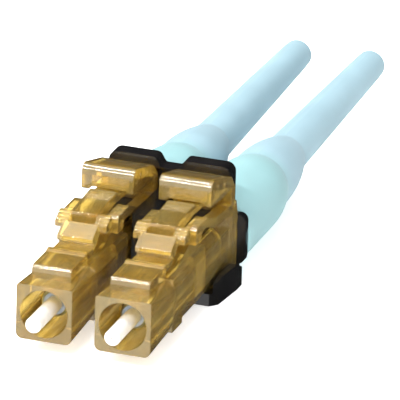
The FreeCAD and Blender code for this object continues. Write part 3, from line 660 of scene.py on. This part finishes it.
def spring_tree():
    """Geometry nodes that wind a wire along +Z: the inputs are the spring's own sizes, in metres."""
    tree = bpy.data.node_groups.new("wound_spring", "GeometryNodeTree")
    ports = {}
    for name, kind in (("Turns", "NodeSocketFloat"), ("Coil Radius", "NodeSocketFloat"),
                       ("Length", "NodeSocketFloat"), ("Wire Radius", "NodeSocketFloat"),
                       ("Steel", "NodeSocketMaterial")):
        ports[name] = tree.interface.new_socket(name, in_out="INPUT", socket_type=kind).identifier
    tree.interface.new_socket("Geometry", in_out="OUTPUT", socket_type="NodeSocketGeometry")
    given, out = tree.nodes.new("NodeGroupInput"), tree.nodes.new("NodeGroupOutput")
    spiral = tree.nodes.new("GeometryNodeCurveSpiral")
    section = tree.nodes.new("GeometryNodeCurvePrimitiveCircle")
    wind = tree.nodes.new("GeometryNodeCurveToMesh")
    real = tree.nodes.new("GeometryNodeRealizeInstances")
    paint = tree.nodes.new("GeometryNodeSetMaterial")
    spiral.inputs["Resolution"].default_value = 32
    section.inputs["Resolution"].default_value = 10
    wind.inputs["Fill Caps"].default_value = True
    for source, output, target, name in (
            (given, "Turns", spiral, "Rotations"), (given, "Coil Radius", spiral, "Start Radius"),
            (given, "Coil Radius", spiral, "End Radius"), (given, "Length", spiral, "Height"),
            (given, "Wire Radius", section, "Radius"), (spiral, "Curve", wind, "Curve"),
            (section, "Curve", wind, "Profile Curve"), (wind, "Mesh", real, "Geometry"),
            (real, "Geometry", paint, "Geometry"), (given, "Steel", paint, "Material"),
            (paint, "Geometry", out, "Geometry")):
        tree.links.new(source.outputs[output], target.inputs[name])
    return tree, ports


SPRING_TREE, SPRING_PORTS = spring_tree()


def coil_spring(side):
    """Spring between the barrel's flange and the post, wound once at its rest length and fixed to the
    housings.
    """
    low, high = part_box(f"spring_{side}")
    middle_x, middle_z = (low[0] + high[0]) / 2, (low[2] + high[2]) / 2
    front, rear, wire = low[1], high[1], size.spring_wire_radius * MM
    item = bpy.data.objects.new("spring_path", bpy.data.meshes.new("spring_path"))
    bpy.context.scene.collection.objects.link(item)
    winding = item.modifiers.new("wound_spring", "NODES")
    winding.node_group = SPRING_TREE
    for name, value in (("Turns", size.spring_turns),
                        ("Coil Radius", (high[0] - low[0]) / 2 - wire),
                        ("Length", rear - front - 2 * wire), ("Wire Radius", wire),
                        ("Steel", SPRING_STEEL)):
        winding[SPRING_PORTS[name]] = value
    settle(item)
    mesh = item.data
    bpy.data.objects.remove(item)
    mesh.transform(Matrix.Translation((middle_x, front + wire, middle_z))
                   @ Matrix.Rotation(-math.pi / 2, 4, "X"))
    mesh.polygons.foreach_set("use_smooth", [True] * len(mesh.polygons))
    piece = bpy.data.objects.new(f"wound_spring_{side}", mesh)
    bpy.context.scene.collection.objects.link(piece)
    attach(piece, "housings")
    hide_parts(f"spring_{side}")
    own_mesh(piece)


# --- the mouldings in their places ---
EDGE_ROUNDS = {"front_shell": 0.06, "latch": 0.035, "rear_shell": 0.05, "lever": 0.07, "clip": 0.12}
MOULDINGS = {
    "front_shell": ("plug_housing", "housings", front_shell()),
    "latch": ("latch_arm", "latch", latch()),
    "rear_shell": ("rear_housing", "housings", rear_shell()),
    "lever": ("trigger", "trigger", lever()),
}
AMBER_MESHES = {name: cut_solid(name, steps, EDGE_ROUNDS[name])
                for name, (node, body, steps) in MOULDINGS.items()}
for side, hand in zip(SIDES, (-1, 1)):
    coil_spring(side)
    for name, (node, body, steps) in MOULDINGS.items():
        carrier = body if body == "housings" else f"{body}_{side}"
        fit(AMBER_MESHES[name], f"{name}_{side}", f"{node}_{side}", carrier,
            AMBER, hand * size.pitch / 2)
fit(cut_solid("clip", clip(), EDGE_ROUNDS["clip"]), "clip", "duplex_clip", "housings",
    BLACK)

# --- camera, light and floor ---
NOSE_MIDDLE = Vector((0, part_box("plug_housing_left")[0][1],
                      (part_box("ferrule_left")[0][2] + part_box("ferrule_left")[1][2]) / 2))
CAMERA_SPOT = NOSE_MIDDLE + Vector((179.77, -509.02, 225.29)) * MM
CAMERA_DEGREES = (68.2428, -1.5026, 19.1542)    # about X, then Y, then Z
LENS_MM, SENSOR_MM = 706.225, 36.0


def add_camera():
    data = bpy.data.cameras.new("camera")
    data.lens, data.sensor_width = LENS_MM, SENSOR_MM
    data.clip_start, data.clip_end = 0.05, 20.0
    camera = bpy.data.objects.new("camera", data)
    turned = Euler([math.radians(angle) for angle in CAMERA_DEGREES]).to_matrix()
    camera.matrix_world = Matrix.Translation(CAMERA_SPOT) @ turned.to_4x4()
    bpy.context.scene.collection.objects.link(camera)
    bpy.context.scene.camera = camera


def add_light(name, spot_mm, wide_mm, deep_mm, watts):
    """Soft panel that faces the middle of the object, with its width level and across the pair."""
    data = bpy.data.lights.new(name, "AREA")
    data.shape, data.energy = "RECTANGLE", watts
    data.size, data.size_y = wide_mm * MM, deep_mm * MM
    light = bpy.data.objects.new(name, data)
    spot = Vector(spot_mm) * MM
    back = spot.normalized()
    up = back.cross(Vector((1, 0, 0))).normalized()
    axes = Matrix((up.cross(back), up, back)).transposed()
    light.matrix_world = Matrix.Translation(spot) @ axes.to_4x4()
    bpy.context.scene.collection.objects.link(light)


def add_floor():
    """White sheet that the pair lies on, a hair lower than the clip's foot, so they don't flicker."""
    half, low = 1.5, -0.02 * MM
    mesh = bpy.data.meshes.new("floor")
    corners = [(x, y, low) for x, y in rectangle(-half, half, -half, half)]
    mesh.from_pydata(corners, [], [(0, 1, 2, 3)])
    floor = bpy.data.objects.new("floor", mesh)
    material = new_material("white_paper_sweep")
    shade = noise(material, 60 * MM)
    tint = two_tones(material, shade, "Fac", *SPREAD, "#FAFAFA", "#FFFFFF")
    shader = add_node(material, "ShaderNodeBsdfPrincipled",
                      {"Roughness": 0.9, "Specular IOR Level": 0.1, "Emission Strength": 0.5},
                      {"Base Color": (tint, "Color"), "Emission Color": (tint, "Color")})
    finish_material(material, shader)
    mesh.materials.append(material)
    bpy.context.scene.collection.objects.link(floor)
    floor.visible_glossy = False    # the moulded sides mirror a dark studio, not the white sheet


def add_world():
    """Studio that is bright above the front left and dark behind the right."""
    world = bpy.data.worlds.new("studio")
    world.use_nodes = True
    background = world.node_tree.nodes["Background"]
    towards = add_node(world, "ShaderNodeVectorMath", {"operation": "DOT_PRODUCT"},
                       {0: (add_node(world, "ShaderNodeTexCoord"), "Generated")})
    towards.inputs[1].default_value = (-0.35, -0.75, 0.55)
    lit = range_of(world, towards, "Value", -0.1, 0.5)
    sky = two_tones(world, lit, "Result", 0.0, 1.0, "#2C2C2E", "#FFFFFF")
    world.node_tree.links.new(sky.outputs["Color"], background.inputs["Color"])
    background.inputs["Strength"].default_value = 1.3
    bpy.context.scene.world = world


add_camera()
add_world()
add_floor()
add_light("key", (-95, -215, 215), 260, 10, 0.8)
add_light("second_key", (-95, -30, 300), 260, 10, 0.8)
add_light("fill", (200, -260, 120), 160, 160, 0.3)
bpy.context.scene.view_settings.view_transform = "Standard"
